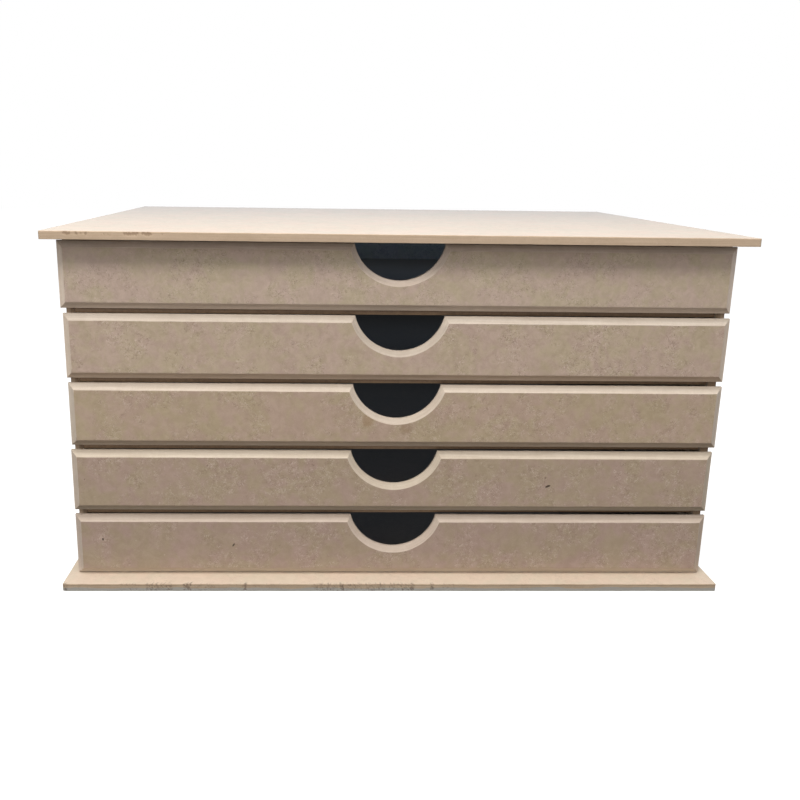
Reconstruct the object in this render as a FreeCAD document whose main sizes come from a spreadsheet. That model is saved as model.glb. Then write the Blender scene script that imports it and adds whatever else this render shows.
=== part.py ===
import FreeCAD, Part
import os
import Sketcher

# Tabletop cabinet of thin fibreboard with shallow full-width drawers for rubber stamps.
# Millimetres, +Z up, fronts towards -Y, origin at the centre of the base board's underside.
# Each piece is drawn in a frame of its own and set in its place by its body's Placement.

doc = FreeCAD.newDocument("StampDrawers")

# ---------------------------------------------------------------- sizes

DRIVING_SIZES = [
    ("drawer_count", 5, "drawers, one above the other"),
    ("board_depth", 275, "top and base boards, front to back"),
    ("board_thickness", 4.5, "top and base boards"),
    ("board_edge_round", 0.5, "sanded round along the edges of both boards"),
    ("side_overhang", 7.5, "boards beyond the side panels, left and right"),
    ("front_overhang", 12, "boards beyond the drawer faces"),
    ("front_width", 375, "drawer front"),
    ("front_height", 37, "drawer front"),
    ("front_thickness", 4.5, "drawer front"),
    ("front_gap", 3, "from one front to the next"),
    ("front_base_gap", 0.5, "from the surface a drawer runs on up to its front"),
    ("front_top_gap", 2, "from the uppermost front to the top board"),
    ("front_lap", 1.5, "front beyond the side panel, left and right"),
    ("bevel_face", 3.6, "front's bevel, measured across its face"),
    ("bevel_depth", 2.5, "front's bevel, measured into its thickness"),
    ("notch_radius", 25.5, "finger notch at the back of its bevel"),
    ("notch_depth", 19.7, "finger notch below the front's upper edge"),
    ("side_thickness", 4.5, "side panel"),
    ("closing_gap", 0.4, "from a closed front's back to the side panel's edge"),
    ("shelf_thickness", 2.5, "hardboard shelf"),
    ("shelf_setback", 3, "shelf's front edge behind the side panel's"),
    ("housing_depth", 2, "groove in the side panel that holds a shelf"),
    ("joint_play", 0.1, "room round a board that is let into another"),
    ("back_thickness", 2.5, "hardboard back panel"),
    ("back_inset", 1, "back panel ahead of the side panels' rear edges"),
    ("back_rebate", 2.8, "rebate in the side panel that holds the back panel"),
    ("pin_diameter", 1, "panel pin's shank"),
    ("pin_length", 12, "panel pin under its head"),
    ("pin_head_diameter", 2, "panel pin's flat head"),
    ("pin_head_height", 0.5, "panel pin's flat head"),
    ("pin_hole_play", 0.02, "room round a pin, on the radius"),
    ("box_wall", 4.5, "drawer box's sides and back"),
    ("box_floor", 2.5, "drawer box's floor"),
    ("box_rebate", 2.2, "rebate in the box's walls for the floor and the back"),
    ("slide_side_gap", 1, "from the drawer box to the side panel"),
    ("slide_floor_gap", 0.3, "from the drawer box to the surface it runs on"),
    ("slide_top_gap", 2.7, "from the drawer box to the shelf above"),
    ("slide_rear_gap", 2, "from a closed drawer box to the back panel"),
]

WORKED_SIZES = [
    ("pitch", "Sizes.front_height + Sizes.front_gap"),
    ("carcass_width", "Sizes.front_width - 2 * Sizes.front_lap"),
    ("board_width", "carcass_width + 2 * Sizes.side_overhang"),
    ("face_y", "Sizes.front_overhang - Sizes.board_depth / 2"),
    ("front_back_y", "face_y + Sizes.front_thickness"),
    ("side_y", "front_back_y + Sizes.closing_gap"),
    ("side_depth", "Sizes.board_depth / 2 - side_y"),
    ("upper_fronts", "(Sizes.drawer_count - 1) * pitch"),
    ("side_height", "Sizes.front_base_gap + upper_fronts + Sizes.front_height + Sizes.front_top_gap"),
    ("inner_width", "carcass_width - 2 * Sizes.side_thickness"),
    ("panel_front", "side_depth - Sizes.back_inset - Sizes.back_thickness"),
    ("shelf_width", "inner_width + 2 * (Sizes.housing_depth - Sizes.joint_play)"),
    ("shelf_depth", "panel_front - Sizes.shelf_setback"),
    ("back_width", "inner_width + 2 * (Sizes.back_rebate - Sizes.joint_play)"),
    ("bay_height", "pitch - Sizes.shelf_thickness"),
    ("pin_x", "inner_width / 2 + Sizes.back_rebate / 2"),
    ("box_width", "inner_width - 2 * Sizes.slide_side_gap"),
    ("box_height", "bay_height - Sizes.slide_floor_gap - Sizes.slide_top_gap"),
    ("box_depth", "side_y + panel_front - Sizes.slide_rear_gap - front_back_y"),
    ("lip", "Sizes.box_wall - Sizes.box_rebate"),
    ("box_inlet_width", "box_width - 2 * (lip + Sizes.joint_play)"),
    ("box_inlet_depth", "box_depth - lip - Sizes.joint_play"),
]

sizes = doc.addObject("Spreadsheet::Sheet", "Sizes")
for row, (name, value, meaning) in enumerate(DRIVING_SIZES, start=1):
    sizes.set("A%d" % row, meaning)
    sizes.set("B%d" % row, str(value))
    sizes.setAlias("B%d" % row, name)

worked = doc.addObject("Spreadsheet::Sheet", "Worked")
for row, (name, formula) in enumerate(WORKED_SIZES, start=1):
    worked.set("A%d" % row, "=" + formula)
    worked.setAlias("A%d" % row, name)
doc.recompute()

DRAWER_COUNT = int(sizes.drawer_count)
SHELF_COUNT = DRAWER_COUNT - 1

# ---------------------------------------------------------------- drawing helpers

# the numbers a sketch gives to a curve's points and to its own axes
START, END, CENTRE = range(1, 4)
HORIZONTAL_AXIS, VERTICAL_AXIS = range(-1, -3, -1)
ORIGIN = (HORIZONTAL_AXIS, START)
SKETCH_START_SIZE = 10.0

pieces = []


def newBody(label, x="0", y="0", z="0"):
    """An empty body whose own origin stands at x, y, z of the cabinet's frame."""
    body = doc.addObject("PartDesign::Body", label)
    body.Label = label
    for axis, place in zip("xyz", (x, y, z)):
        body.setExpression("Placement.Base." + axis, place)
    pieces.append(body)
    return body


def newSketch(body, name, plane, offset="0"):
    """A sketch on one of the body's origin planes, moved along that plane's normal."""
    sketch = body.newObject("Sketcher::SketchObject", body.Name + "_" + name)
    planes = [part for part in body.Origin.OriginFeatures if part.Role == plane]
    sketch.AttachmentSupport = [(planes[0], "")]
    sketch.MapMode = "FlatFace"
    sketch.setExpression("AttachmentOffset.Base.z", offset)
    return sketch


def dimension(sketch, name, expression, *constraint):
    """A dimension of the sketch, under its own name and bound to the sheets."""
    index = sketch.addConstraint(Sketcher.Constraint(*constraint, SKETCH_START_SIZE))
    sketch.renameConstraint(index, name)
    sketch.setExpression("Constraints." + name, expression)


def hold(sketch, *constraint):
    sketch.addConstraint(Sketcher.Constraint(*constraint))


def addLine(sketch, start, end):
    points = [FreeCAD.Vector(point[0], point[1], 0) for point in (start, end)]
    return sketch.addGeometry(Part.LineSegment(*points), False)


def addRectangle(sketch, width, height, left="", bottom="", centred=""):
    """A rectangle. An empty left or bottom lies on the axis; centred is "", "x" or "xy"."""
    far = SKETCH_START_SIZE
    corners = [(0, 0), (far, 0), (far, far), (0, far)]
    lines = [addLine(sketch, corners[n], corners[(n + 1) % 4]) for n in range(4)]
    for n in range(4):
        hold(sketch, "Coincident", lines[n], END, lines[(n + 1) % 4], START)
    base, right, top, side = lines
    hold(sketch, "Horizontal", top)
    for line in (right, side):
        hold(sketch, "Vertical", line)
    if centred != "x":
        hold(sketch, "Horizontal", base)
    dimension(sketch, "width", width, "DistanceX", base, START, base, END)
    dimension(sketch, "height", height, "DistanceY", right, START, right, END)
    if centred == "xy":
        hold(sketch, "Symmetric", base, START, right, END, *ORIGIN)
        return
    if centred == "x":
        hold(sketch, "Symmetric", base, START, base, END, VERTICAL_AXIS)
    elif left:
        dimension(sketch, "left", left, "DistanceX", *ORIGIN, base, START)
    else:
        hold(sketch, "PointOnObject", base, START, VERTICAL_AXIS)
    if bottom:
        dimension(sketch, "bottom", bottom, "DistanceY", *ORIGIN, base, START)
    else:
        hold(sketch, "PointOnObject", base, START, HORIZONTAL_AXIS)


def addCircle(sketch, name, diameter, x, z):
    circle = Part.Circle(FreeCAD.Vector(1, 1, 0), FreeCAD.Vector(0, 0, 1), 1)
    index = sketch.addGeometry(circle, False)
    dimension(sketch, name + "_diameter", diameter, "Diameter", index)
    dimension(sketch, name + "_x", x, "DistanceX", *ORIGIN, index, CENTRE)
    dimension(sketch, name + "_z", z, "DistanceY", *ORIGIN, index, CENTRE)


def pad(body, sketch, thickness, reverse=False):
    feature = body.newObject("PartDesign::Pad", sketch.Name + "_pad")
    feature.Profile = sketch
    feature.setExpression("Length", thickness)
    feature.Reversed = reverse
    doc.recompute()
    return feature


def cut(body, sketch, depth, reverse=False):
    """A pocket, which has to take material away."""
    before = body.Shape.Volume
    feature = body.newObject("PartDesign::Pocket", sketch.Name + "_pocket")
    feature.Profile = sketch
    feature.setExpression("Length", depth)
    feature.Reversed = reverse
    doc.recompute()
    if body.Shape.Volume >= before:
        raise RuntimeError(feature.Name + " cuts nothing")
    return feature


def repeatUpwards(body, features, count, spacing):
    """Copies of the features up the body, one in each bay."""
    if count < 2:
        return
    pattern = body.newObject("PartDesign::LinearPattern", features[0].Name + "_row")
    pattern.Originals = features
    pattern.Direction = (features[0].Profile[0], ["V_Axis"])
    pattern.setExpression("Length", "%d * (%s)" % (count - 1, spacing))
    pattern.Occurrences = count
    body.Tip = pattern
    doc.recompute()


# ---------------------------------------------------------------- cabinet


def makeBoard(label, z):
    """Top or base board: a plain sheet with its edges sanded round."""
    body = newBody(label, z=z)
    outline = newSketch(body, "outline", "XY_Plane")
    addRectangle(outline, "Worked.board_width", "Sizes.board_depth", centred="xy")
    sheet = pad(body, outline, "Sizes.board_thickness")
    rounds = body.newObject("PartDesign::Fillet", label + "_edges")
    rounds.Base = (sheet, ["Edge%d" % (n + 1) for n in range(len(sheet.Shape.Edges))])
    rounds.setExpression("Radius", "Sizes.board_edge_round")


def makeSidePanel(label, x, inner_face, cut_reversed):
    """Side panel with a stopped housing for each shelf, a rebate for the back and pin holes.

    inner_face is where the face towards the drawers lies in the panel's own frame.
    """
    body = newBody(label, x=x, y="Worked.side_y", z="Sizes.board_thickness")
    outline = newSketch(body, "outline", "YZ_Plane")
    addRectangle(outline, "Worked.side_depth", "Worked.side_height")
    pad(body, outline, "Sizes.side_thickness")

    rebate = newSketch(body, "rebate", "YZ_Plane", inner_face)
    rebate_width = "Sizes.back_inset + Sizes.back_thickness"
    addRectangle(rebate, rebate_width, "Worked.side_height", left="Worked.panel_front")
    cut(body, rebate, "Sizes.back_rebate", cut_reversed)

    if SHELF_COUNT > 0:
        housing = newSketch(body, "housing", "YZ_Plane", inner_face)
        addRectangle(
            housing,
            "Worked.shelf_depth",
            "Sizes.shelf_thickness + Sizes.joint_play",
            left="Sizes.shelf_setback",
            bottom="Worked.bay_height",
        )
        groove = cut(body, housing, "Sizes.housing_depth", cut_reversed)
        repeatUpwards(body, [groove], SHELF_COUNT, "Worked.pitch")

    holes = newSketch(body, "pin_hole", "XZ_Plane", "-Worked.panel_front")
    inward = "1" if cut_reversed else "-1"
    rebate_middle = "%s + %s * Sizes.back_rebate / 2" % (inner_face, inward)
    hole_diameter = "Sizes.pin_diameter + 2 * Sizes.pin_hole_play"
    addCircle(holes, "hole", hole_diameter, rebate_middle, "Worked.bay_height / 2")
    hole_depth = "Sizes.pin_length - Sizes.back_thickness + Sizes.pin_hole_play"
    hole = cut(body, holes, hole_depth, True)
    repeatUpwards(body, [hole], DRAWER_COUNT, "Worked.pitch")


def makeShelf(number):
    """Hardboard shelf in the side panels' housings; number 1 is the uppermost."""
    level = DRAWER_COUNT - number
    body = newBody(
        "shelf_%d" % number,
        y="Worked.side_y + Sizes.shelf_setback",
        z="Sizes.board_thickness + %d * Worked.pitch - Sizes.shelf_thickness" % level,
    )
    outline = newSketch(body, "outline", "XY_Plane")
    addRectangle(outline, "Worked.shelf_width", "Worked.shelf_depth", centred="x")
    pad(body, outline, "Sizes.shelf_thickness")


def makeBackPanel():
    """Hardboard back with a row of pin holes up each side."""
    body = newBody("back_panel", y="Worked.side_y + Worked.panel_front", z="Sizes.board_thickness")
    outline = newSketch(body, "outline", "XZ_Plane")
    addRectangle(outline, "Worked.back_width", "Worked.side_height", centred="x")
    pad(body, outline, "Sizes.back_thickness", reverse=True)
    holes = newSketch(body, "pin_hole", "XZ_Plane")
    hole_diameter = "Sizes.pin_diameter + 2 * Sizes.pin_hole_play"
    for side, sign in (("left", "-"), ("right", "")):
        addCircle(holes, side, hole_diameter, sign + "Worked.pin_x", "Worked.bay_height / 2")
    hole = cut(body, holes, "Sizes.back_thickness")
    repeatUpwards(body, [hole], DRAWER_COUNT, "Worked.pitch")


def makeBackPins():
    """Flat-headed panel pins through the back panel into the side panels, two to a bay."""
    body = newBody("back_pins", y="Worked.side_y + Worked.side_depth", z="Sizes.board_thickness")
    body.AllowCompound = True
    grown = []
    shapes = (
        ("shank", "Sizes.pin_diameter", "Sizes.pin_length", False),
        ("head", "Sizes.pin_head_diameter", "Sizes.pin_head_height", True),
    )
    for name, diameter, length, reverse in shapes:
        circles = newSketch(body, name, "XZ_Plane", "Sizes.back_inset")
        for side, sign in (("left", "-"), ("right", "")):
            addCircle(circles, side, diameter, sign + "Worked.pin_x", "Worked.bay_height / 2")
        grown.append(pad(body, circles, length, reverse))
    repeatUpwards(body, grown, DRAWER_COUNT, "Worked.pitch")


# ---------------------------------------------------------------- drawers


def drawFrontOutline(sketch):
    """The front seen from before: a rectangle with a round notch in its upper edge."""
    half, height, notch = 100.0, 40.0, 25.0
    corners = [(-half, height), (-half, 0), (half, 0), (half, height)]
    left = addLine(sketch, corners[0], corners[1])
    base = addLine(sketch, corners[1], corners[2])
    right = addLine(sketch, corners[2], corners[3])
    top_right = addLine(sketch, corners[3], (notch, height))
    low_point = FreeCAD.Vector(0, height - notch, 0)
    ends = [FreeCAD.Vector(side * notch, height, 0) for side in (-1, 1)]
    notch_arc = sketch.addGeometry(Part.Arc(ends[0], low_point, ends[1]), False)
    top_left = addLine(sketch, (-notch, height), corners[0])
    for first, second in ((left, base), (base, right), (right, top_right)):
        hold(sketch, "Coincident", first, END, second, START)
    hold(sketch, "Coincident", top_right, END, notch_arc, END)
    hold(sketch, "Coincident", notch_arc, START, top_left, START)
    hold(sketch, "Coincident", top_left, END, left, START)
    for line in (left, right):
        hold(sketch, "Vertical", line)
    for line in (top_left, top_right):
        hold(sketch, "Horizontal", line)
    hold(sketch, "Equal", left, right)
    hold(sketch, "PointOnObject", base, START, HORIZONTAL_AXIS)
    hold(sketch, "Symmetric", base, START, base, END, VERTICAL_AXIS)
    hold(sketch, "PointOnObject", notch_arc, CENTRE, VERTICAL_AXIS)
    dimension(sketch, "width", "Sizes.front_width", "DistanceX", base, START, base, END)
    dimension(sketch, "height", "Sizes.front_height", "DistanceY", right, START, right, END)
    dimension(sketch, "notch_radius", "Sizes.notch_radius", "Radius", notch_arc)
    centre_height = "Sizes.front_height - Sizes.notch_depth + Sizes.notch_radius"
    dimension(sketch, "notch_height", centre_height, "DistanceY", *ORIGIN, notch_arc, CENTRE)


def faceEdges(shape):
    """Names of the edges that bound the front's visible face, which lies at y = 0."""
    tolerance = 0.001
    names = []
    for number, edge in enumerate(shape.Edges, start=1):
        box = edge.BoundBox
        if abs(box.YMin) < tolerance and abs(box.YMax) < tolerance:
            names.append("Edge%d" % number)
    return names


def makeFront(number, floor_z):
    """Drawer front: one bevel runs round all four edges and down through the finger notch."""
    label = "front_%d" % number
    body = newBody(label, y="Worked.face_y", z=floor_z + " + Sizes.front_base_gap")
    outline = newSketch(body, "outline", "XZ_Plane")
    drawFrontOutline(outline)
    blank = pad(body, outline, "Sizes.front_thickness", reverse=True)
    bevel = body.newObject("PartDesign::Chamfer", label + "_bevel")
    bevel.Base = (blank, faceEdges(blank.Shape))
    bevel.ChamferType = "Two distances"
    bevel.setExpression("Size", "Sizes.bevel_depth")
    bevel.setExpression("Size2", "Sizes.bevel_face")


def makeBoxSide(number, hand, floor_z):
    """Side of a drawer box, rebated along its foot for the floor and at its end for the back."""
    left_hand = hand == "left"
    x = "-Worked.box_width / 2" if left_hand else "Worked.box_width / 2 - Sizes.box_wall"
    inner_face = "Sizes.box_wall" if left_hand else "0"
    body = newBody(
        "box_%s_%d" % (hand, number),
        x=x,
        y="Worked.front_back_y",
        z=floor_z + " + Sizes.slide_floor_gap",
    )
    outline = newSketch(body, "outline", "YZ_Plane")
    addRectangle(outline, "Worked.box_depth", "Worked.box_height")
    pad(body, outline, "Sizes.box_wall")
    foot = newSketch(body, "floor_rebate", "YZ_Plane", inner_face)
    addRectangle(foot, "Worked.box_depth", "Sizes.box_floor")
    cut(body, foot, "Sizes.box_rebate", not left_hand)
    end = newSketch(body, "back_rebate", "YZ_Plane", inner_face)
    end_left = "Worked.box_depth - Sizes.box_wall"
    addRectangle(end, "Sizes.box_wall", "Worked.box_height", left=end_left)
    cut(body, end, "Sizes.box_rebate", not left_hand)


def makeBoxBack(number, floor_z):
    """Back of a drawer box, between the sides' lips, rebated along its foot for the floor."""
    body = newBody(
        "box_back_%d" % number,
        y="Worked.front_back_y + Worked.box_depth - Sizes.box_wall",
        z=floor_z + " + Sizes.slide_floor_gap",
    )
    outline = newSketch(body, "outline", "XZ_Plane")
    addRectangle(outline, "Worked.box_inlet_width", "Worked.box_height", centred="x")
    pad(body, outline, "Sizes.box_wall", reverse=True)
    foot = newSketch(body, "floor_rebate", "XZ_Plane")
    addRectangle(foot, "Worked.box_inlet_width", "Sizes.box_floor", centred="x")
    cut(body, foot, "Sizes.box_rebate")


def makeBoxFloor(number, floor_z):
    """Floor of a drawer box, glued up into the rebates of its sides and back."""
    body = newBody(
        "box_floor_%d" % number,
        y="Worked.front_back_y",
        z=floor_z + " + Sizes.slide_floor_gap",
    )
    outline = newSketch(body, "outline", "XY_Plane")
    addRectangle(outline, "Worked.box_inlet_width", "Worked.box_inlet_depth", centred="x")
    pad(body, outline, "Sizes.box_floor")


def makeDrawer(number):
    """One drawer; number 1 is the uppermost."""
    level = DRAWER_COUNT - number
    floor_z = "Sizes.board_thickness + %d * Worked.pitch" % level
    makeFront(number, floor_z)
    for hand in ("left", "right"):
        makeBoxSide(number, hand, floor_z)
    makeBoxBack(number, floor_z)
    makeBoxFloor(number, floor_z)


# ---------------------------------------------------------------- the whole cabinet

makeBoard("base_board", "0")
makeBoard("top_board", "Sizes.board_thickness + Worked.side_height")
makeSidePanel("side_left", "-Worked.carcass_width / 2", "Sizes.side_thickness", False)
makeSidePanel("side_right", "Worked.inner_width / 2", "0", True)
for shelf_number in range(1, SHELF_COUNT + 1):
    makeShelf(shelf_number)
makeBackPanel()
makeBackPins()
for drawer_number in range(1, DRAWER_COUNT + 1):
    makeDrawer(drawer_number)
doc.recompute()

# ---------------------------------------------------------------- checks and files

for item in doc.Objects:
    if "Invalid" in item.State or "Error" in item.State:
        raise RuntimeError("%s failed: %s" % (item.Name, item.State))
for piece in pieces:
    if piece.Shape.isNull() or not piece.Shape.isValid():
        raise RuntimeError("%s has no valid shape" % piece.Label)

os.makedirs("parts", exist_ok=True)
for piece in pieces:
    piece.Shape.exportStep("parts/%s.step" % piece.Label)
    box = piece.Shape.BoundBox
    print("%-12s %d solid(s), %.1f mm3, x %.2f..%.2f y %.2f..%.2f z %.2f..%.2f" % (
        piece.Label, len(piece.Shape.Solids), piece.Shape.Volume,
        box.XMin, box.XMax, box.YMin, box.YMax, box.ZMin, box.ZMax))
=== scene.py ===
import math
import bmesh
import bpy
from mathutils import Matrix, Vector, noise


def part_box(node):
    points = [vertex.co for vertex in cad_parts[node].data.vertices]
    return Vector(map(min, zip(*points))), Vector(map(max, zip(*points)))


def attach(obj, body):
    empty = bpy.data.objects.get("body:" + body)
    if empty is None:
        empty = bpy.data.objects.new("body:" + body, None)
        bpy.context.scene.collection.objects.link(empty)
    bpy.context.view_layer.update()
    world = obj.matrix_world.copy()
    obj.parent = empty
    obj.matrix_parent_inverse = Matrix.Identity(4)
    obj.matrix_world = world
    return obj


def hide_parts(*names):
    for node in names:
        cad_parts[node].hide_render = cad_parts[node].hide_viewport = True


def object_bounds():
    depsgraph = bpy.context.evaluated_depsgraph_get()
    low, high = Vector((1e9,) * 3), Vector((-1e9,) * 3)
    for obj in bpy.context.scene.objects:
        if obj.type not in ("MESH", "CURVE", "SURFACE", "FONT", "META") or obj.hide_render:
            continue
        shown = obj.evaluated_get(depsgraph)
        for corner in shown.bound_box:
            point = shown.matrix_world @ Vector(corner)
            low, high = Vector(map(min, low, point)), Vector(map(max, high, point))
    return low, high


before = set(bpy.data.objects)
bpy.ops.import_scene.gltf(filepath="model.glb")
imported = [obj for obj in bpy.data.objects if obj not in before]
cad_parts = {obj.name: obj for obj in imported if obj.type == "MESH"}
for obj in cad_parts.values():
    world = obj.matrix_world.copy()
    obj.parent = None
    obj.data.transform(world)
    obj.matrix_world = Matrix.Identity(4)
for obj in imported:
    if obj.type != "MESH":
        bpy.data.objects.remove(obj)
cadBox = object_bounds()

# Bare fibreboard stamp cabinet: the looks of every board, the studio and the camera.
# Lengths in metres, fronts towards -Y, the frame's own origin.

mm = 0.001
drawerNumbers = range(1, 6)
noise.seed_set(7)       # the boards' edges wander in the same way each time
print("frame loaded:", len(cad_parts), "nodes")


# node trees written as plain sums

class Wire:
    # one output of a node tree; arithmetic on it adds Math nodes
    def __init__(self, paint, socket):
        self.paint = paint
        self.socket = socket

    def __add__(self, other):
        return self.paint.maths("ADD", self, other)

    def __radd__(self, other):
        return self.paint.maths("ADD", other, self)

    def __sub__(self, other):
        return self.paint.maths("SUBTRACT", self, other)

    def __rsub__(self, other):
        return self.paint.maths("SUBTRACT", other, self)

    def __mul__(self, other):
        return self.paint.maths("MULTIPLY", self, other)

    def __rmul__(self, other):
        return self.paint.maths("MULTIPLY", other, self)

    def __truediv__(self, other):
        return self.paint.maths("DIVIDE", self, other)

    def __rtruediv__(self, other):
        return self.paint.maths("DIVIDE", other, self)

    def __abs__(self):
        return self.paint.maths("ABSOLUTE", self)


class Paint:
    # a node tree filled from Python
    def __init__(self, tree):
        self.tree = tree
        tree.nodes.clear()

    def feed(self, socket, value):
        if isinstance(value, Wire):
            self.tree.links.new(value.socket, socket)
        else:
            socket.default_value = value

    def add(self, kind, settings=None, inputs=None, output=0):
        node = self.tree.nodes.new("ShaderNode" + kind)
        for name, value in (settings or {}).items():
            setattr(node, name, value)
        for key, value in (inputs or {}).items():
            self.feed(node.inputs[key], value)
        return Wire(self, node.outputs[output]) if node.outputs else None

    def maths(self, operation, *values):
        return self.add("Math", {"operation": operation}, dict(enumerate(values)))

    def vector(self, operation, *values, output=0):
        return self.add("VectorMath", {"operation": operation}, dict(enumerate(values)), output)

    def scaled(self, place, factor):
        return self.add("VectorMath", {"operation": "SCALE"}, {0: place, "Scale": factor})

    def stretch(self, place, factors):
        return self.vector("MULTIPLY", place, factors)

    def place(self):
        # where a point is on the piece, in millimetres
        return self.scaled(self.add("TexCoord", output="Object"), 1 / mm)

    def part(self, place, letter):
        return self.add("SeparateXYZ", None, {0: place}, output=letter)

    def mix(self, factor, first, second, blend="MIX"):
        settings = {"data_type": "RGBA", "blend_type": blend}
        return self.add("Mix", settings, {0: factor, 6: first, 7: second}, output=2)

    def step(self, value, low, high):
        # 0 below low, 1 above high and smooth between
        inputs = {"Value": value, "From Min": low, "From Max": high}
        return self.add("MapRange", {"interpolation_type": "SMOOTHSTEP"}, inputs)

    def grain(self, place, scale, detail=3.0, rough=0.55, twist=0.0, seed=0.0):
        inputs = {"Vector": place, "W": seed, "Scale": scale, "Detail": detail}
        inputs.update({"Roughness": rough, "Distortion": twist})
        return self.add("TexNoise", {"noise_dimensions": "4D"}, inputs)


def colourOf(red, green, blue):
    # a colour as seen on a screen, 0 to 255, made linear
    def linear(value):
        value /= 255
        return value / 12.92 if value <= 0.04045 else ((value + 0.055) / 1.055) ** 2.4
    return (linear(red), linear(green), linear(blue), 1.0)


def tintOf(factors):
    # what a colour is multiplied by so that its screen values change by the factors
    return tuple(part ** 2.2 for part in factors) + (1.0,)


def newMaterial(name):
    material = bpy.data.materials.new(name)
    material.use_nodes = True
    return material, Paint(material.node_tree)


def finishSurface(paint, colour, roughness, height, relief, specular=0.3):
    # relief is what a height of 1 stands for, in metres
    bump = paint.add("Bump", None, {"Strength": 1.0, "Distance": relief, "Height": height})
    surface = {"Base Color": colour, "Roughness": roughness, "Normal": bump}
    surface["Specular IOR Level"] = specular
    shader = paint.add("BsdfPrincipled", None, surface)
    paint.add("OutputMaterial", None, {"Surface": shader})


# fibreboard

fibreboardLook = dict(
    skinPale=(197, 177, 158), skinDark=(168, 148, 129),     # pressed faces
    warm=(191, 166, 154), cool=(183, 169, 137), driftShare=0.5,
    cutPale=(212, 200, 184), cutDark=(190, 175, 157),       # routed and sawn edges
    upperCut=(1, 1, 1), lowerCut=(1, 1, 1),                 # painted light and shade on cuts that face up and down
    bark=(84, 62, 45), hairDark=(112, 90, 74), hairPale=(228, 212, 196),
    cloudScale=0.03, hueScale=0.075, mottleScale=0.2,       # per millimetre
    fibreScale=0.95, hairScale=0.5, barkScale=0.085,
    hairShare=0.56, barkSize=0.05, skinRelief=0.00003, cutRelief=0.00006,
    skinRoughness=0.66, cutRoughness=0.9,
)


markRag = (0.35, 0.35, 0.35)    # how ragged the rim of a mark is


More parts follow.
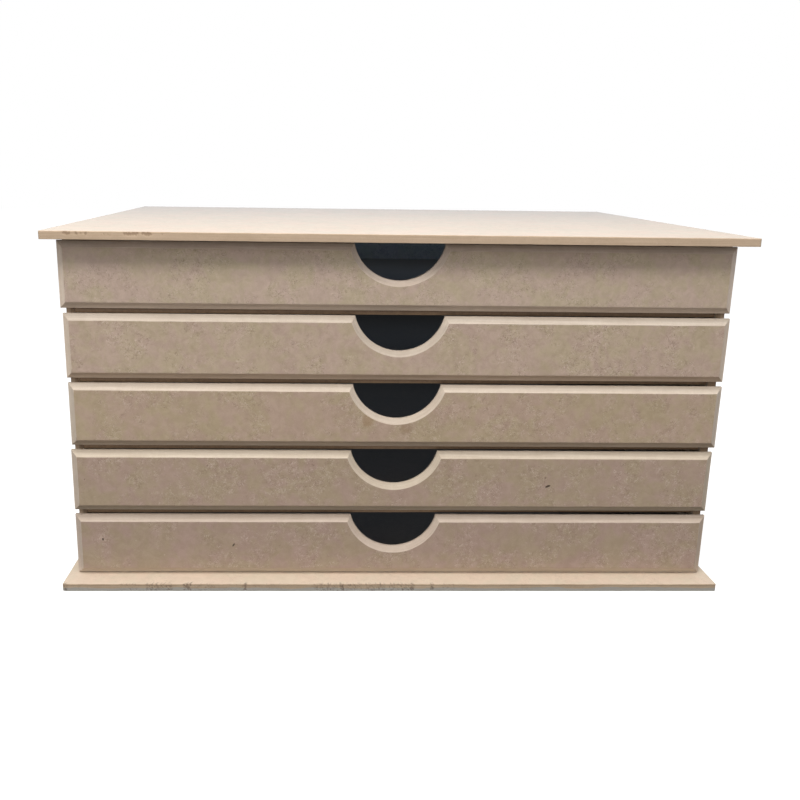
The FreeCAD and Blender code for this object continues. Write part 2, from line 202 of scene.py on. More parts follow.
def boardSurface(name, thicknessAxis, seed, look=fibreboardLook, dirt=None, marks=()):
    # pressed skin on the two broad faces, layered cut edges on all the others
    material, paint = newMaterial(name)
    place = paint.place()
    facing = paint.add("TexCoord", output="Normal")
    axis = Vector((thicknessAxis == "x", thicknessAxis == "y", thicknessAxis == "z"))
    facingSkin = abs(paint.vector("DOT_PRODUCT", facing, tuple(axis), output="Value"))
    skin = paint.step(facingSkin, 0.93, 0.985)

    cloud = paint.grain(place, look["cloudScale"], 2.0, seed=seed)
    mottle = paint.grain(place, look["mottleScale"], 5.0, 0.62, 0.7, seed=seed + 3)
    fibre = paint.grain(place, look["fibreScale"], 4.0, 0.6, 2.2, seed=seed + 7)
    fuzz = paint.grain(place, 2.2, 3.0, 0.6, 1.0, seed=seed + 9)
    along = tuple(1.7 if part else 0.03 for part in axis)
    layers = paint.grain(paint.stretch(place, along), 1.0, 3.0, 0.5, 0.2, seed=seed + 11)

    skinTone = paint.step(0.6 * mottle + 0.24 * fibre + 0.16 * cloud, 0.37, 0.63)
    skinColour = paint.mix(skinTone, colourOf(*look["skinDark"]), colourOf(*look["skinPale"]))
    hue = paint.grain(place, look["hueScale"], 3.0, 0.6, 0.6, seed=seed + 5)
    drift = paint.mix(paint.step(hue, 0.36, 0.64), colourOf(*look["warm"]), colourOf(*look["cool"]))
    skinColour = paint.mix(look["driftShare"], skinColour, drift)
    patch = paint.step(paint.grain(place, 0.06, 3.0, 0.6, seed=seed + 19), 0.44, 0.56)
    for hairTone, share, offset in (("hairDark", 1.0, 17), ("hairPale", 0.75, 23)):
        # short curled fibres lying in patches
        strand = abs(paint.grain(place, look["hairScale"], 2.0, 0.5, 1.8, seed=seed + offset) - 0.5)
        broken = paint.step(paint.grain(place, 0.42, 2.0, 0.5, 0.5, seed=seed + offset + 4), 0.46, 0.54)
        hair = (1 - paint.step(strand, 0.004, 0.04)) * broken * (0.12 + 0.88 * patch)
        skinColour = paint.mix(hair * look["hairShare"] * share, skinColour, colourOf(*look[hairTone]))
    cutTone = paint.step(0.45 * layers + 0.25 * mottle + 0.3 * fuzz, 0.3, 0.7)
    cutColour = paint.mix(cutTone, colourOf(*look["cutDark"]), colourOf(*look["cutPale"]))
    # painted light and shade: cuts that face up and cuts that face down get their own tints
    upward = paint.step(paint.part(facing, "Z"), -0.35, 0.35)
    cutLightAndShade = paint.mix(upward, tintOf(look["lowerCut"]), tintOf(look["upperCut"]))
    cutColour = paint.mix(1.0, cutColour, cutLightAndShade, "MULTIPLY")
    colour = paint.mix(skin, cutColour, skinColour)

    warp = paint.scaled(paint.grain(place, 0.6, 2.0, seed=seed + 13) - 0.5, 2.2)
    for scaleFactor, sizeFactor, share, fleck, strength in (
        (1.0, 1.0, 0.62, "bark", 0.62),
        (2.6, 1.5, 0.5, "bark", 0.3),
        (2.1, 1.7, 0.6, "hairPale", 0.35),
    ):
        size = look["barkSize"] * sizeFactor
        shifted = paint.vector("ADD", paint.vector("ADD", place, warp), (seed * 17.0 + size * 90, 0, 0))
        inputs = {"Vector": shifted, "Scale": look["barkScale"] * scaleFactor}
        cell = paint.add("TexVoronoi", None, inputs, "Distance")
        dice = paint.add("SeparateColor", None, {0: Wire(paint, cell.socket.node.outputs["Color"])})
        reach = size * paint.step(dice, share, 1.0)
        speck = paint.step(reach - cell, 0.0, size * 0.35)
        colour = paint.mix(speck * strength, colour, colourOf(*look[fleck]))

    for x, z, length, width, lean, strength, markColour in marks:
        # a nick or stain on a front's face, drawn as a leaning oval with a ragged rim
        away = paint.vector("SUBTRACT", paint.vector("ADD", place, paint.stretch(warp, markRag)), (x, 0, z))
        across = paint.part(away, "X")
        above = paint.part(away, "Z")
        turn = math.radians(lean)
        along = (across * math.cos(turn) + above * math.sin(turn)) / length
        over = (above * math.cos(turn) - across * math.sin(turn)) / width
        near = 1 - paint.step(along * along + over * over, 0.25, 1.0)
        colour = paint.mix(near * skin * strength, colour, colourOf(*markColour))

    # dirt adds real dirt and wear on the base and the top's chipped edge, and painted light and shade on the
    # fronts' bevels, the top board's faces and the panels' front ends
    if dirt:
        colour = dirt(paint, place, facing, skin, colour)
    roughness = look["cutRoughness"] + skin * (look["skinRoughness"] - look["cutRoughness"])
    roughness = roughness + 0.12 * (mottle - 0.5)
    cutShare = look["cutRelief"] / look["skinRelief"]
    height = skin * (0.6 * fibre + 0.4 * mottle) + (1 - skin) * cutShare * (0.6 * fuzz + 0.4 * layers)
    finishSurface(paint, colour, roughness, height, look["skinRelief"])
    return material


def tinted(look, tint, contrast):
    # the same board with its faces a little darker, evener or of another warmth
    changed = dict(look)
    for pair in (("skinPale", "skinDark"), ("warm", "cool")):
        middle = [sum(values) / 2 for values in zip(look[pair[0]], look[pair[1]])]
        share = contrast if "skinPale" in pair else 1.0
        for key in pair:
            changed[key] = tuple((mean + (value - mean) * share) * part
                                 for value, mean, part in zip(look[key], middle, tint))
    return changed


# hardboard

hardboardLook = dict(
    pale=(145, 117, 92), dark=(122, 97, 74), hair=(170, 143, 116), speck=(84, 64, 48),
    cutPale=(178, 150, 124), cutDark=(150, 124, 100),
    meshTone=(98, 76, 57), meshPitch=1.7, meshRelief=5.0,       # the print of the pressing screen
    relief=0.00002, roughness=0.5,
)
shelfLook = dict(hardboardLook, cutPale=(142, 114, 86), cutDark=(117, 93, 69))
boxFloorLook = dict(
    hardboardLook, pale=(108, 96, 84), dark=(92, 81, 70), hair=(128, 116, 104), speck=(66, 58, 50))


def hardboardSurface(name, thicknessAxis, seed, look=hardboardLook, screenSide=-1):
    # one side is smooth, the other carries the print of the screen that it was pressed on
    material, paint = newMaterial(name)
    place = paint.place()
    facing = paint.add("TexCoord", output="Normal")
    axis = (thicknessAxis == "x", thicknessAxis == "y", thicknessAxis == "z")
    outward = paint.vector("DOT_PRODUCT", facing, axis, output="Value")
    skin = paint.step(abs(outward), 0.8, 0.95)
    screened = paint.step(outward * screenSide, 0.8, 0.95)
    cloud = paint.grain(place, 0.02, 2.0, seed=seed)
    mottle = paint.grain(place, 0.3, 4.0, 0.6, 1.0, seed=seed + 3)
    hair = paint.grain(place, 0.8, 5.0, 0.65, 3.0, seed=seed + 5)
    tone = paint.step(0.45 * hair + 0.35 * mottle + 0.2 * cloud, 0.36, 0.64)
    colour = paint.mix(tone, colourOf(*look["dark"]), colourOf(*look["pale"]))
    for fleck, scale, share, offset in (("hair", 0.34, 0.4, 8), ("speck", 0.5, 0.35, 12)):
        strand = abs(paint.grain(place, scale, 2.0, 0.5, 2.0, seed=seed + offset) - 0.5)
        broken = paint.step(paint.grain(place, 0.4, 2.0, 0.5, seed=seed + offset + 1), 0.5, 0.58)
        fibre = (1 - paint.step(strand, 0.0, 0.03)) * broken * share
        colour = paint.mix(fibre, colour, colourOf(*look[fleck]))
    across, over = [paint.part(place, name)
                    for name, part in zip("XYZ", axis) if not part]
    turn = 2 * math.pi / look["meshPitch"]
    waves = paint.maths("SINE", across * turn) * paint.maths("SINE", over * turn)
    pits = screened * paint.step(waves + 0.8 * (hair - 0.5), -0.3, 0.5)
    colour = paint.mix(pits * 0.55, colour, colourOf(*look["meshTone"]))
    sawn = paint.mix(tone, colourOf(*look["cutDark"]), colourOf(*look["cutPale"]))
    colour = paint.mix(skin, sawn, colour)
    roughness = look["roughness"] + 0.3 * screened + 0.15 * (hair - 0.5)
    finishSurface(paint, colour, roughness, hair - look["meshRelief"] * pits, look["relief"], 0.4)
    return material


# steel of the panel pins

pinLook = dict(bright=(168, 166, 160), dull=(112, 108, 102), roughness=0.42)


def pinSurface(name, look=pinLook):
    material, paint = newMaterial(name)
    place = paint.place()
    scuff = paint.grain(place, 2.5, 4.0, 0.6, 0.5)
    colour = paint.mix(paint.step(scuff, 0.35, 0.7), colourOf(*look["dull"]), colourOf(*look["bright"]))
    bump = paint.add("Bump", None, {"Strength": 0.5, "Distance": 0.00002, "Height": scuff})
    surface = {"Base Color": colour, "Metallic": 0.9, "Normal": bump}
    surface["Roughness"] = look["roughness"] + 0.3 * (scuff - 0.5)
    shader = paint.add("BsdfPrincipled", None, surface)
    paint.add("OutputMaterial", None, {"Surface": shader})
    return material


# meshes made of rings

sharpAngle = math.radians(32)       # arrises sharper than this stay crisp


def hollowed(start, end, depth, steps):
    # points from start to end that sink to the depth midway
    chord = end - start
    sunk = Vector((-chord.y, chord.x)).normalized() * depth
    shares = [number / steps for number in range(steps + 1)]
    return [start + chord * share + sunk * 4 * share * (1 - share) for share in shares]


def softened(path, reach, steps):
    # the path with each inner corner cut back by its reach and bent round; no reach keeps it
    bent = [path[0]]
    for index in range(1, len(path) - 1):
        if not reach[index - 1]:
            bent.append(path[index])
            continue
        before, corner, after = path[index - 1:index + 2]
        start = corner + (before - corner).normalized() * reach[index - 1]
        end = corner + (after - corner).normalized() * reach[index - 1]
        for count in range(steps + 1):
            share = count / steps
            bent.append(start.lerp(corner, share).lerp(corner.lerp(end, share), share))
    bent.append(path[-1])
    return bent


def divided(start, end, step, length=None):
    # points from start up to but without end, about a step apart on a run of the length
    count = max(1, round((length or (end - start).length) / step))
    return [start.lerp(end, number / count) for number in range(count)]


def ringMesh(name, rings, wear=None):
    # equal closed rings joined one to the next, with a flat face over each end
    count = len(rings[0])
    points = [point for ring in rings for point in ring]
    faces = []
    for ring in range(len(rings) - 1):
        for number in range(count):
            after = (number + 1) % count
            low, high = ring * count, (ring + 1) * count
            faces.append((low + number, low + after, high + after, high + number))
    faces.append(tuple(reversed(range(count))))
    faces.append(tuple(range(len(points) - count, len(points))))
    mesh = bpy.data.meshes.new(name)
    mesh.from_pydata(points, [], faces)
    if wear:
        layer = mesh.attributes.new("wear", "FLOAT", "POINT")
        for item, value in zip(layer.data, wear):
            item.value = value
    shaped = bmesh.new()
    shaped.from_mesh(mesh)
    bmesh.ops.recalc_face_normals(shaped, faces=shaped.faces)
    shaped.to_mesh(mesh)
    shaped.free()
    mesh.shade_smooth()
    mesh.set_sharp_from_angle(angle=sharpAngle)
    piece = bpy.data.objects.new(name, mesh)
    bpy.context.scene.collection.objects.link(piece)
    return piece


def wearAttribute(paint):
    return paint.add("Attribute", {"attribute_name": "wear"}, output="Fac")


def dress(piece, node, body, material):
    piece.data.materials.append(material)
    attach(piece, body)
    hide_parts(node)


# drawer fronts

frontShape = dict(
    bevelFace=3.6 * mm, bevelDepth=2.5 * mm,
    notchRadius=25.9 * mm, notchDepth=20.1 * mm, notchBevel=2.95 * mm,      # sanded a little wider
    softEdge=0.35 * mm, softBack=0.2 * mm, hollow=0.24 * mm,
    backInset=2 * mm, faceInset=1 * mm, step=3 * mm, arcPoints=64,
    wander=0.05 * mm, wanderScale=90,       # how far the edges wander, and how often, per metre
)
# each front as it was sawn, in millimetres: how far right of their lines its ends are, how much taller
# it is, how far its notch is off the middle; then how strong its mottling and curled fibres show, the
# tints of its face, which are painted shade that darkens the lower fronts, the tints of its upper, lower,
# left and right bevels and of the notch's, which are painted light and shade, and its small marks:
# x from the middle, z from the lower edge, half length, half width, lean in degrees, strength, colour
fronts = {
    1: dict(ends=(-1.1, 0.3), rise=0.45, notch=-0.5, contrast=0.97, hair=0.8, face=(1.025, 1.03, 1.035),
            upper=(1.035, 1.02, 1.03), lower=(1.02, 0.985, 0.97),
            left=(1.072, 1.077, 1.078), right=(1.06, 1.07, 1.085), rim=1.065, marks=[]),
    2: dict(ends=(0.0, 0.9), rise=0.0, notch=0.6, contrast=1.0, hair=1.05, face=(0.988, 0.983, 0.981),
            upper=(1.075, 1.07, 1.075), lower=(0.98, 0.925, 0.885),
            left=(1.05, 1.06, 1.07), right=(1.03, 1.04, 1.05), rim=0.975, marks=[]),
    3: dict(ends=(0.35, 1.1), rise=0.0, notch=0.0, contrast=0.83, hair=0.9, face=(0.955, 0.941, 0.92),
            upper=(1.065, 1.055, 1.055), lower=(0.88, 0.845, 0.815),
            left=(1.04, 1.055, 1.07), right=(1.03, 1.045, 1.065), rim=1.0,
            marks=[(-16.4, 16.4, 4.0, 5.0, 0, 0.5, (152, 122, 90)),
                   (5.6, 12.2, 4.0, 5.0, 0, 0.42, (142, 116, 90))]),
    4: dict(ends=(-0.3, 0.0), rise=0.0, notch=-0.5, contrast=0.75, hair=0.95, face=(0.917, 0.9, 0.895),
            upper=(1.035, 1.025, 1.01), lower=(0.86, 0.84, 0.81),
            left=(1.035, 1.03, 1.05), right=(1.0, 1.0, 1.0), rim=1.0,
            marks=[(90.7, 16.5, 2.1, 0.8, 22, 0.95, (58, 42, 32)),
                   (88.8, 21.6, 0.7, 0.6, 0, 0.7, (92, 70, 56))]),
    5: dict(ends=(-0.25, 0.1), rise=0.0, notch=0.0, contrast=0.83, hair=0.9, face=(0.901, 0.88, 0.881),
            upper=(0.98, 0.955, 0.955), lower=(0.945, 0.93, 0.915),
            left=(1.0, 1.0, 1.015), right=(0.98, 0.965, 0.96), rim=1.03,
            marks=[(-171.7, 22.2, 0.8, 1.1, 0, 0.9, (72, 56, 46)),
                   (-94.8, 18.7, 1.3, 0.6, 60, 0.9, (66, 52, 42)),
                   (-93.2, 16.4, 0.9, 0.7, 0, 0.5, (190, 172, 152))]),
}
# where the painted shade on an upper bevel's deep side, under the drawer above, and the painted shade on the
# notch's bevel begin, in millimetres below the top edge, and where the painted light on the end bevels does,
# from the middle
bevelShadeZones = dict(shade=(0.85, 0.84, 0.83), notchShare=0.42, edge=(-0.9, 3.6), notch=(3.6, 6.5),
                  ends=(120.0, 130.0))


def frontOutline(inset, width, height, shift, shape):
    # the front's outline drawn in by the inset, the notch's arc, off the middle by the shift, drawn out
    # by its share of it
    half = width / 2 - inset
    top = height - inset
    centre = height - shape["notchDepth"] + shape["notchRadius"]
    radius = shape["notchRadius"] + inset * shape["notchBevel"] / shape["bevelFace"]
    mouth = math.sqrt(radius ** 2 - (centre - top) ** 2)
    corners = [(-half, top), (-half, inset), (half, inset), (half, top), (shift + mouth, top)]
    corners = [Vector(corner) for corner in corners]
    fullHalf = width / 2
    plain = [Vector(p) for p in ((-fullHalf, height), (-fullHalf, 0), (fullHalf, 0), (fullHalf, height))]
    plain.append(Vector((shape["notchRadius"], height)))
    outline = []
    for index in range(4):
        count = len(divided(plain[index], plain[index + 1], shape["step"]))
        start, end = corners[index], corners[index + 1]
        outline += [start.lerp(end, number / count) for number in range(count)]
    rim = math.asin((centre - top) / radius)
    for number in range(shape["arcPoints"]):
        angle = -rim - (math.pi - 2 * rim) * number / shape["arcPoints"]
        outline.append(Vector((shift + radius * math.cos(angle), centre + radius * math.sin(angle))))
    count = len(divided(plain[3], plain[4], shape["step"]))
    start, end = Vector((shift - mouth, top)), corners[0]
    outline += [start.lerp(end, number / count) for number in range(count)]
    return outline


def makeFront(number, shape=frontShape):
    node = "front_%d" % number
    low, high = (Vector(corner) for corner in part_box(node))
    front = fronts[number]
    trueMiddle = (low.x + high.x) / 2
    low.x += front["ends"][0] * mm
    high.x += front["ends"][1] * mm
    high.z += front["rise"] * mm
    shape = dict(shape, notchDepth=shape["notchDepth"] + front["rise"] * mm)
    width, thickness, height = high - low
    middle = (low.x + high.x) / 2
    notchAt = front["notch"] * mm + trueMiddle - middle
    bevelFace, bevelDepth = shape["bevelFace"], shape["bevelDepth"]
    backPath = [Vector((shape["backInset"], thickness)), Vector((0, thickness))]
    hollow = hollowed(Vector((0, bevelDepth)), Vector((bevelFace, 0)), shape["hollow"], 6)
    path = backPath + hollow + [Vector((bevelFace + shape["faceInset"], 0))]
    reach = [shape["softBack"], shape["softEdge"]] + [0] * (len(hollow) - 2) + [shape["softEdge"]]
    profile = softened(path, reach, 3)
    rings = []
    for index, (inset, depth) in enumerate(profile):
        ring = []
        onFlat = index in (0, len(profile) - 1)
        for x, z in frontOutline(inset, width, height, notchAt, shape):
            point = Vector((middle + x, low.y + depth, low.z + z))
            if not onFlat and depth > 0:
                spot = point * shape["wanderScale"] + Vector((number, 0, 0))
                point += noise.noise_vector(spot) * shape["wander"]
            ring.append(point)
        rings.append(ring)
    piece = ringMesh("front_panel_%d" % number, rings)
    # the face tint is painted shade that darkens the lower fronts; the bevel tints are painted light and
    # shade
    look = tinted(fibreboardLook, front["face"], front["contrast"])
    look.update(upperCut=front["upper"], lowerCut=front["lower"])
    look["hairShare"] *= front["hair"]
    marks = [(x, low.z / mm + z, *rest) for x, z, *rest in front["marks"]]
    name = "frontBoard%d" % number
    material = boardSurface(name, "y", number * 1.7, look, bevelLightAndShade(high.z / mm, front), marks)
    dress(piece, node, "drawer_%d" % number, material)


# painted light and shade on a front's bevels: painted shade on each upper bevel's deep side for the shade
# cast by the drawer above, a share of it on the notch's bevel, and painted light and shade on the end bevels
# that face left and right
def bevelLightAndShade(top, front):
    def shade(paint, place, facing, skin, colour):
        drop = top - paint.part(place, "Z")
        upward = paint.step(paint.part(facing, "Z"), 0.1, 0.4)
        edge = 1 - paint.step(drop, *bevelShadeZones["edge"])
        notch = paint.step(drop, *bevelShadeZones["notch"])
        # the notch's bevel gets a share of the painted shade, times the front's own notch tint
        lower = tintOf([1 - (1 - part) * bevelShadeZones["notchShare"] for part in bevelShadeZones["shade"]])
        lower = tuple(part * front["rim"] ** 2.2 for part in lower[:3]) + (1.0,)
        tint = paint.mix(notch, paint.mix(edge, (1, 1, 1, 1), tintOf(bevelShadeZones["shade"])), lower)
        colour = paint.mix(upward, colour, tint, "MULTIPLY")
        # painted light and shade on the end bevels, by whether they face left or right
        sideways = paint.part(facing, "X")
        tint = paint.mix(paint.step(sideways, -0.1, 0.1), tintOf(front["left"]), tintOf(front["right"]))
        beyond = paint.step(abs(paint.part(place, "X")), *bevelShadeZones["ends"])
        sideMask = paint.step(abs(sideways), 0.3, 0.5) * beyond
        return paint.mix(sideMask, colour, tint, "MULTIPLY")
    return shade


# top and base boards

boardShape = dict(fineStep=0.7 * mm, coarseStep=4 * mm, edgeRings=7, faceInset=4 * mm,
                  chipDepth=0.35 * mm, frontBand=2 * mm, wanderScale=120)
boardShapes = {
    "top_board": dict(boardShape, upperRound=0.5 * mm, lowerRound=0.15 * mm, corner=1.4 * mm,
                      wander=0.06 * mm, rightTrim=0.0),
    "base_board": dict(boardShape, upperRound=0.6 * mm, lowerRound=0.3 * mm, corner=1.2 * mm,
                       wander=0.1 * mm, rightTrim=1.0 * mm),      # sawn a little short on the right
}


def boardOutline(inset, low, high, shape):
    # anticlockwise from the front left corner; only the front edge is finely divided
    corners = [(low[0], low[1], 1, 1), (high[0], low[1], -1, 1), (high[0], high[1], -1, -1),
               (low[0], high[1], 1, -1)]
    reach = max(0.0, shape["corner"] - inset)
    setIn = max(shape["corner"], inset)
    centres = [Vector((x + signX * setIn, y + signY * setIn)) for x, y, signX, signY in corners]
    outline = []
    for index in range(4):
        after = (index + 1) % 4
        for part in range(4):
            angle = math.pi * (1 + index / 2 + part / 8)
            outline.append(centres[index] + Vector((math.cos(angle), math.sin(angle))) * reach)
        angle = math.pi * (1.5 + index / 2)
        side = Vector((math.cos(angle), math.sin(angle))) * reach
        step = shape["fineStep"] if index == 0 else shape["coarseStep"]
        outline += divided(centres[index] + side, centres[after] + side, step, (high - low)[index % 2])
    return outline


def makeBoard(node, wearAt, material):
    shape = boardShapes[node]
    low, high = (Vector(corner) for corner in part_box(node))
    high.x -= shape["rightTrim"]
    edge = [Vector((0, high.z - (high.z - low.z) * part / shape["edgeRings"]))
            for part in range(1, shape["edgeRings"])]
    inset = shape["faceInset"]
    upper = [Vector((inset, high.z)), Vector((0, high.z)), edge[0]]
    lower = [edge[-1], Vector((0, low.z)), Vector((inset, low.z))]
    profile = softened(upper, [shape["upperRound"]], 4)[:-1] + edge
    profile += softened(lower, [shape["lowerRound"]], 4)[1:]
    rings, wear = [], []
    for index, (inset, z) in enumerate(profile):
        ring = []
        for x, y in boardOutline(inset, low, high, shape):
            point = Vector((x, y, z))
            worn = 0.0
            if 0 < index < len(profile) - 1:
                worn = wearAt(point, low, high)
                point += noise.noise_vector(point * shape["wanderScale"]) * shape["wander"]
                inward = Vector((-point.x, -point.y, 0))
                if abs(point.y - low.y) < shape["frontBand"]:
                    inward = Vector((0, 1, 0))
                point += inward.normalized() * worn * shape["chipDepth"]
            ring.append(point)
            wear.append(worn)
        rings.append(ring)
    piece = ringMesh(node + "_detail", rings, wear)
    dress(piece, node, "cabinet", material)


wornBand = 1.5 * mm     # how far behind the front edge it is worn
# chipped stretches of the top board's upper front edge: from, to (mm from its left end), strength
topChips = [(13, 17, 0.9), (19, 21, 0.8), (22, 23.5, 0.8), (24.5, 26, 0.7), (33, 39, 0.35),
            (45, 53, 0.85), (54.5, 60, 0.8), (64.5, 66, 0.6), (118, 121, 0.3), (231, 234, 0.25)]
# mottled and chipped stretches of the base board's front edge, in the same way
baseChips = [(0, 3, 0.8), (4, 16, 0.35), (33, 44, 0.5), (48, 64, 0.75), (70, 75, 1.1), (76, 89, 0.5),
             (89, 104, 0.35), (105, 107.5, 1.1), (110, 129, 0.35), (146, 161, 0.65), (161.5, 164.5, 1.1),
             (165, 175, 0.65), (177, 189, 0.7), (191, 203, 0.65), (203, 206, 1.1), (215, 217.5, 0.9),
             (222, 230, 0.45), (268, 273, 0.35)]


def chipped(across, chips):
    # how far into the nearest chipped stretch a point lies, times its strength
    return max(strength * min(1.0, max(0.0, min(across - start, end - across) / 0.8 + 0.4))
               for start, end, strength in chips)


def topWear(point, low, high):
    if point.y > low.y + wornBand:
        return 0.0
    across = (point.x - low.x) / mm
    drop = (high.z - point.z) / mm
    ragged = 0.6 + 0.9 * noise.noise(Vector((across * 1.1, drop * 0.8, 3.0)))
    band = max(0.0, 1 - abs(drop - 1.1) / 1.5)
    return min(1.0, chipped(across, topChips) * band * max(0.0, ragged) * 1.5)


def baseWear(point, low, high):
    if point.y > low.y + wornBand:
        return 0.0
    across = (point.x - low.x) / mm
    rise = (point.z - low.z) / mm
    ragged = 0.5 + 0.9 * noise.noise(Vector((across * 1.3, rise * 1.1, 8.0)))
    trace = max(0.0, noise.fractal(Vector((across * 0.42, rise * 0.75, 8.0)), 1.0, 2.0, 4)) * 0.25
    return min(1.0, max(trace, chipped(across, baseChips) * max(0.0, ragged)))


topLook = dict(
    fibreboardLook, skinPale=(200, 191, 183), skinDark=(184, 174, 166), warm=(198, 184, 174),
    cool=(188, 184, 174), cutPale=(204, 180, 155), cutDark=(184, 160, 134), hairShare=0.2,
)
baseLook = dict(
    fibreboardLook, skinPale=(216, 198, 178), skinDark=(200, 182, 161), warm=(213, 190, 170),
    cool=(206, 192, 170), cutPale=(196, 175, 150), cutDark=(168, 146, 122), hairShare=0.2,
)


# tints of the top board's faces at the front and back edges, painted light that is brighter at the front and
# dimmer at the back, and what its chipped edge shows
topLightAndChips = dict(front=(1.06, 1.035, 1.005), back=(0.955, 0.97, 0.995), chips=(122, 92, 68))


def paintTopLightAndChips(paint, place, facing, skin, colour):
    depth = (cadBox[1][1] - cadBox[0][1]) / mm
    # painted light across the top's faces, fading from the front edge to the back
    backward = paint.part(place, "Y") / depth + 0.5
    tint = paint.mix(backward, tintOf(topLightAndChips["front"]), tintOf(topLightAndChips["back"]))
    colour = paint.mix(skin, colour, tint, "MULTIPLY")
    speck = paint.grain(place, 1.1, 3.0, 0.6, 0.6, seed=5)
    worn = paint.step(wearAttribute(paint) + 0.9 * (speck - 0.5), 0.15, 0.6)
    return paint.mix(worn * 0.5, colour, colourOf(*topLightAndChips["chips"]))


# the base's sawn edge is browner above and has picked up grey dirt on its lower half, with a brown
# seam near the top; heights in millimetres
baseGrime = dict(dirt=(168, 166, 160), dirtTop=(1.7, 2.5), seam=(110, 88, 68), seamAt=3.9,
                 seamWidth=(0.1, 0.5), chips=(92, 74, 62))


def baseDirt(paint, place, facing, skin, colour):
    height = paint.part(place, "Z")
    blot = paint.grain(paint.stretch(place, (0.28, 0.5, 0.9)), 1.0, 4.0, 0.62, 0.8, seed=21)
    wave = paint.grain(paint.stretch(place, (0.045, 0.2, 0)), 1.0, 2.0, 0.5, seed=27)
    line = height + 3.4 * (wave - 0.5) + 1.0 * (blot - 0.5)
    lowerHalf = 1 - paint.step(line, *baseGrime["dirtTop"])
    away = abs(height + 0.5 * (blot - 0.5) - baseGrime["seamAt"])
    seam = 1 - paint.step(away, *baseGrime["seamWidth"])
    colour = paint.mix((1 - skin) * lowerHalf * 0.85, colour, colourOf(*baseGrime["dirt"]))
    colour = paint.mix((1 - skin) * seam * 0.35, colour, colourOf(*baseGrime["seam"]))
    speck = paint.grain(place, 0.9, 4.0, 0.65, 0.8, seed=33)
    worn = paint.step(wearAttribute(paint) + 1.1 * (speck - 0.5), 0.16, 0.75)
    return paint.mix(worn * 0.62, colour, colourOf(*baseGrime["chips"]))


# shelves: notched round the side panels, and nearer to the fronts on the left

shelfShape = dict(
    noseLeft=2.6 * mm, noseRight=0.3 * mm,      # how far the front edge stands past the housings
    slit=0.2 * mm, softEdge=0.15 * mm, faceInset=2 * mm, step=2 * mm,
    fuzz=0.08 * mm, fuzzScale=400,
)


def shelfOutline(inset, low, high, shape):
    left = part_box("side_left")[1][0] + shape["slit"]
    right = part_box("side_right")[0][0] - shape["slit"]
    corners = [(left, low.y - shape["noseLeft"], 1), (right, low.y - shape["noseRight"], -1),
               (right, low.y, -1), (high.x, low.y, -1), (high.x, high.y, -1), (low.x, high.y, 1),
               (low.x, low.y, 1), (left, low.y, 1)]
    corners = [Vector((x + side * inset, y + (inset if y < high.y else -inset))) for x, y, side in corners]
    front = divided(corners[0], corners[1], shape["step"], right - left)
    return front + corners[1:]


def makeShelf(number, material, shape=shelfShape):
    node = "shelf_%d" % number
    low, high = (Vector(corner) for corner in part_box(node))
    deep = shape["faceInset"]
    path = [Vector(spot) for spot in ((deep, high.z), (0, high.z), (0, low.z), (deep, low.z))]
    rings = []
    for inset, z in softened(path, [shape["softEdge"]] * 2, 2):
        ring = []
        for x, y in shelfOutline(inset, low, high, shape):
            point = Vector((x, y, z))
            if y < low.y and inset < deep / 2:
                point.y += noise.noise(point * shape["fuzzScale"]) * shape["fuzz"]
            ring.append(point)
        rings.append(ring)
    dress(ringMesh("shelf_board_%d" % number, rings), node, "cabinet", material)


# the boards of the cabinet

makeBoard("top_board", topWear, boardSurface("topBoard", "z", seed=20.5, look=topLook, dirt=paintTopLightAndChips))
makeBoard("base_board", baseWear, boardSurface("baseBoard", "z", seed=31.5, look=baseLook, dirt=baseDirt))
for number in drawerNumbers:
    makeFront(number)
shelfSurface = hardboardSurface("shelfHardboard", "z", seed=61, look=shelfLook)
for number in range(1, 5):
    makeShelf(number, shelfSurface)
print("boards, fronts and shelves made")


# the boards whose shape stays as it is

sideLook = dict(fibreboardLook, cutPale=(178, 156, 134), cutDark=(158, 135, 113))     # cuts darker and browner, partly the sawn edges' own tone and partly painted shade for the front ends in the narrow gaps behind the fronts
# painted shade on the panels' front ends, which lie in the narrow gaps behind the fronts: darkest against
# the shelves and, below the top drawer, all across the right one
panelEnd = dict(inner=183.1, outer=184.5, low=140, high=158, brown=(0.77, 0.75, 0.72))


def panelEndShade(paint, place, facing, skin, colour):
    across = paint.part(place, "X")
    height = paint.part(place, "Z")
    inner = 1 - paint.step(abs(across), panelEnd["inner"], panelEnd["outer"])
    # painted shade: the front ends are darkened where the gaps behind the fronts shade them
    right = paint.step(across, -1, 1) * (1 - 0.6 * paint.step(height, panelEnd["low"], panelEnd["high"]))
    endShade = (1 - skin) * (inner + right - inner * right)
    return paint.mix(endShade, colour, tintOf(panelEnd["brown"]), "MULTIPLY")


panelSurface = boardSurface("sidePanelBoard", "x", seed=41, look=sideLook, dirt=panelEndShade)
boxSideSurface = boardSurface("boxSideBoard", "x", seed=47)
boxBackSurface = boardSurface("boxBackBoard", "y", seed=53)
backSurface = hardboardSurface("backHardboard", "y", seed=64, screenSide=1)
floorSurface = hardboardSurface("floorHardboard", "z", seed=67, look=boxFloorLook)
pinSteel = pinSurface("pinSteel")


def paintNode(node, material):
    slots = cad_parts[node].material_slots
    if not slots:
        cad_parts[node].data.materials.append(material)
    for slot in slots:
        slot.material = material


for node in ("side_left", "side_right"):
    paintNode(node, panelSurface)
paintNode("back_panel", backSurface)
paintNode("back_pins", pinSteel)
for number in drawerNumbers:
    paintNode("box_left_%d" % number, boxSideSurface)
    paintNode("box_right_%d" % number, boxSideSurface)
    paintNode("box_back_%d" % number, boxBackSurface)
    paintNode("box_floor_%d" % number, floorSurface)
print("surfaces painted")


# studio

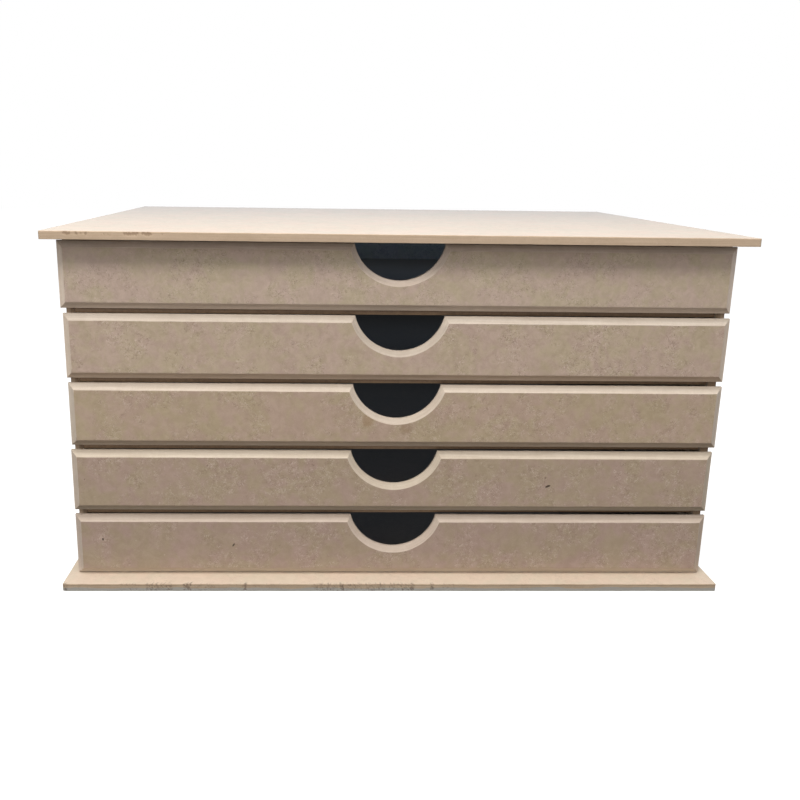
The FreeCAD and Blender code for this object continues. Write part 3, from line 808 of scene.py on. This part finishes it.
studio = dict(
    floorSize=8.0, floorTone=(244, 243, 241), bounceTone=(76, 68, 60),
    floorGlow=0.62, glowStrength=1.35,      # what a camera sees of the floor: mostly plain white
    ambient=0.57, ambientTone=(242, 248, 255),
)
lamps = [
    dict(name="overhead", place=(-0.10, -0.27, 1.30), aim=(0, 0, 0.1), size=(0.45, 0.45), watts=6.9,
         tone=(255, 254, 252)),
    dict(name="key", place=(-0.25, -0.79, 1.12), aim=(0, -0.1, 0.1), size=(0.32, 0.32), watts=7.83,
         tone=(255, 252, 248)),
    dict(name="middle", place=(-0.29, -1.02, 0.92), aim=(0, -0.1, 0.1), size=(0.5, 0.5), watts=0.6,
         tone=(255, 253, 250)),
    dict(name="low", place=(-0.28, -1.45, 0.52), aim=(0, -0.1, 0.1), size=(0.9, 0.9), watts=2.95,
         tone=(255, 253, 250)),
    dict(name="side", place=(1.15, -0.30, 0.40), aim=(0.19, -0.12, 0.1), size=(0.5, 0.5), watts=0.7,
         tone=(255, 253, 250)),
]
# fill for the carcass's outer sides and back, which the lamps above leave in their own shade
fillNodes = ["side_left", "side_right", "back_panel", "back_pins"]
fillNodes += ["box_%s_%d" % (part, number) for part in ("left", "right", "back") for number in drawerNumbers]
fillLamps = [
    dict(name="fill_behind", place=(0.12, 1.65, 0.42), aim=(0, 0.13, 0.1), size=(0.7, 0.5), watts=7.0,
         tone=(255, 253, 250)),
    dict(name="fill_left", place=(-1.6, 0.10, 0.45), aim=(-0.18, 0.05, 0.1), size=(0.7, 0.5), watts=3.6,
         tone=(255, 253, 250)),
    dict(name="fill_right", place=(1.6, 0.10, 0.45), aim=(0.18, 0.05, 0.1), size=(0.7, 0.5), watts=3.2,
         tone=(255, 253, 250)),
]


def makeFloor():
    half = studio["floorSize"] / 2
    corners = [(-half, -half, 0), (half, -half, 0), (half, half, 0), (-half, half, 0)]
    mesh = bpy.data.meshes.new("studio_floor")
    mesh.from_pydata(corners, [], [(0, 1, 2, 3)])
    floor = bpy.data.objects.new("studio_floor", mesh)
    bpy.context.scene.collection.objects.link(floor)
    material, paint = newMaterial("studioFloor")
    direct = paint.add("LightPath", output="Is Camera Ray")
    mirrored = paint.add("LightPath", output="Is Glossy Ray")
    seen = paint.maths("MAXIMUM", direct, mirrored)
    dim = paint.add("BsdfDiffuse", None, {"Color": colourOf(*studio["bounceTone"])})
    pale = paint.add("BsdfDiffuse", None, {"Color": colourOf(*studio["floorTone"])})
    white = paint.add("Emission", None, {"Color": (1, 1, 1, 1), "Strength": studio["glowStrength"]})
    shown = paint.add("MixShader", None, {0: studio["floorGlow"], 1: pale, 2: white})
    mixed = paint.add("MixShader", None, {0: seen, 1: dim, 2: shown})
    paint.add("OutputMaterial", None, {"Surface": mixed})
    mesh.materials.append(material)


def makeWorld():
    world = bpy.data.worlds.new("studio")
    world.use_nodes = True
    bpy.context.scene.world = world
    paint = Paint(world.node_tree)
    seen = [paint.add("LightPath", output=ray)
            for ray in ("Is Camera Ray", "Is Glossy Ray", "Is Transmission Ray")]
    shown = paint.maths("MAXIMUM", paint.maths("MAXIMUM", seen[0], seen[1]), seen[2])
    plain = {"Color": colourOf(*studio["ambientTone"]), "Strength": studio["ambient"]}
    light = paint.add("Background", None, plain)
    white = paint.add("Background", None, {"Color": (1, 1, 1, 1), "Strength": 1.0})
    mixed = paint.add("MixShader", None, {0: shown, 1: light, 2: white})
    paint.add("OutputWorld", None, {"Surface": mixed})


def makeLamp(name, place, aim, size, watts, tone, seen=True):
    lamp = bpy.data.lights.new(name, "AREA")
    lamp.shape = "RECTANGLE"
    lamp.size, lamp.size_y = size
    lamp.energy = watts
    lamp.color = colourOf(*tone)[:3]
    holder = bpy.data.objects.new(name, lamp)
    holder.location = place
    holder.rotation_euler = (Vector(aim) - Vector(place)).to_track_quat("-Z", "Y").to_euler()
    holder.visible_camera = seen
    bpy.context.scene.collection.objects.link(holder)
    return holder


def linkLamp(lamp, nodes):
    # the lamp lights these nodes alone
    lamp.light_linking.receiver_collection = bpy.data.collections.new(lamp.name)
    for node in nodes:
        lamp.light_linking.receiver_collection.objects.link(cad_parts[node])


# a trace of light inside each closed drawer, so that the notches are not pitch black;
# one lamp reaches the drawer's floor alone and a weaker one its walls
bayGlow = dict(
    size=(0.34, 0.14), aside=-0.03, middles={1: 0.08, 2: 0.035, 3: 0.0, 4: -0.01, 5: -0.01},
    floor=dict(tone=(200, 224, 255), nodes=("box_floor_%d",),
               watts={1: 0.027, 2: 0.021, 3: 0.02, 4: 0.018, 5: 0.02}),
    wall=dict(tone=(144, 196, 255), nodes=("box_back_%d", "box_left_%d", "box_right_%d"),
              watts={1: 0.028, 2: 0.012, 3: 0.012, 4: 0.012, 5: 0.012}),
)


def makeBayGlow(number):
    low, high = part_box("box_left_%d" % number)
    place = Vector((bayGlow["aside"], bayGlow["middles"][number], high.z + 2 * mm))
    for part in ("floor", "wall"):
        glow = bayGlow[part]
        name = "bay_%s_glow_%d" % (part, number)
        below = place - Vector((0, 0, 1))
        lamp = makeLamp(name, place, below, bayGlow["size"], glow["watts"][number], glow["tone"], False)
        linkLamp(lamp, [node % number for node in glow["nodes"]])


def makeCamera():
    # place in the frame, then turned by yaw, pitch and roll
    view = dict(place=(-0.04533, -0.58248, 0.24299), yaw=0.0270, pitch=0.2343, roll=0.0133,
                lens=37.386, shiftX=0.07515, shiftY=-0.04324)
    yaw, pitch, roll = view["yaw"], view["pitch"], view["roll"]
    ahead = Vector((math.sin(yaw) * math.cos(pitch), math.cos(yaw) * math.cos(pitch), -math.sin(pitch)))
    level = Vector((math.cos(yaw), -math.sin(yaw), 0))
    above = level.cross(ahead)
    right = math.cos(roll) * level + math.sin(roll) * above
    up = -math.sin(roll) * level + math.cos(roll) * above
    lens = bpy.data.cameras.new("camera")
    lens.lens = view["lens"]
    lens.sensor_width = 36
    lens.shift_x = view["shiftX"]
    lens.shift_y = view["shiftY"]
    lens.clip_start = 0.01
    camera = bpy.data.objects.new("camera", lens)
    turn = Matrix((right, up, -ahead)).transposed().to_4x4()
    camera.matrix_world = Matrix.Translation(view["place"]) @ turn
    bpy.context.scene.collection.objects.link(camera)
    bpy.context.scene.camera = camera


makeFloor()
makeWorld()
for lamp in lamps:
    makeLamp(**lamp)
for lamp in fillLamps:
    linkLamp(makeLamp(**lamp, seen=False), fillNodes)
for number in drawerNumbers:
    makeBayGlow(number)
makeCamera()
bpy.context.scene.view_settings.view_transform = "Standard"
print("studio ready")
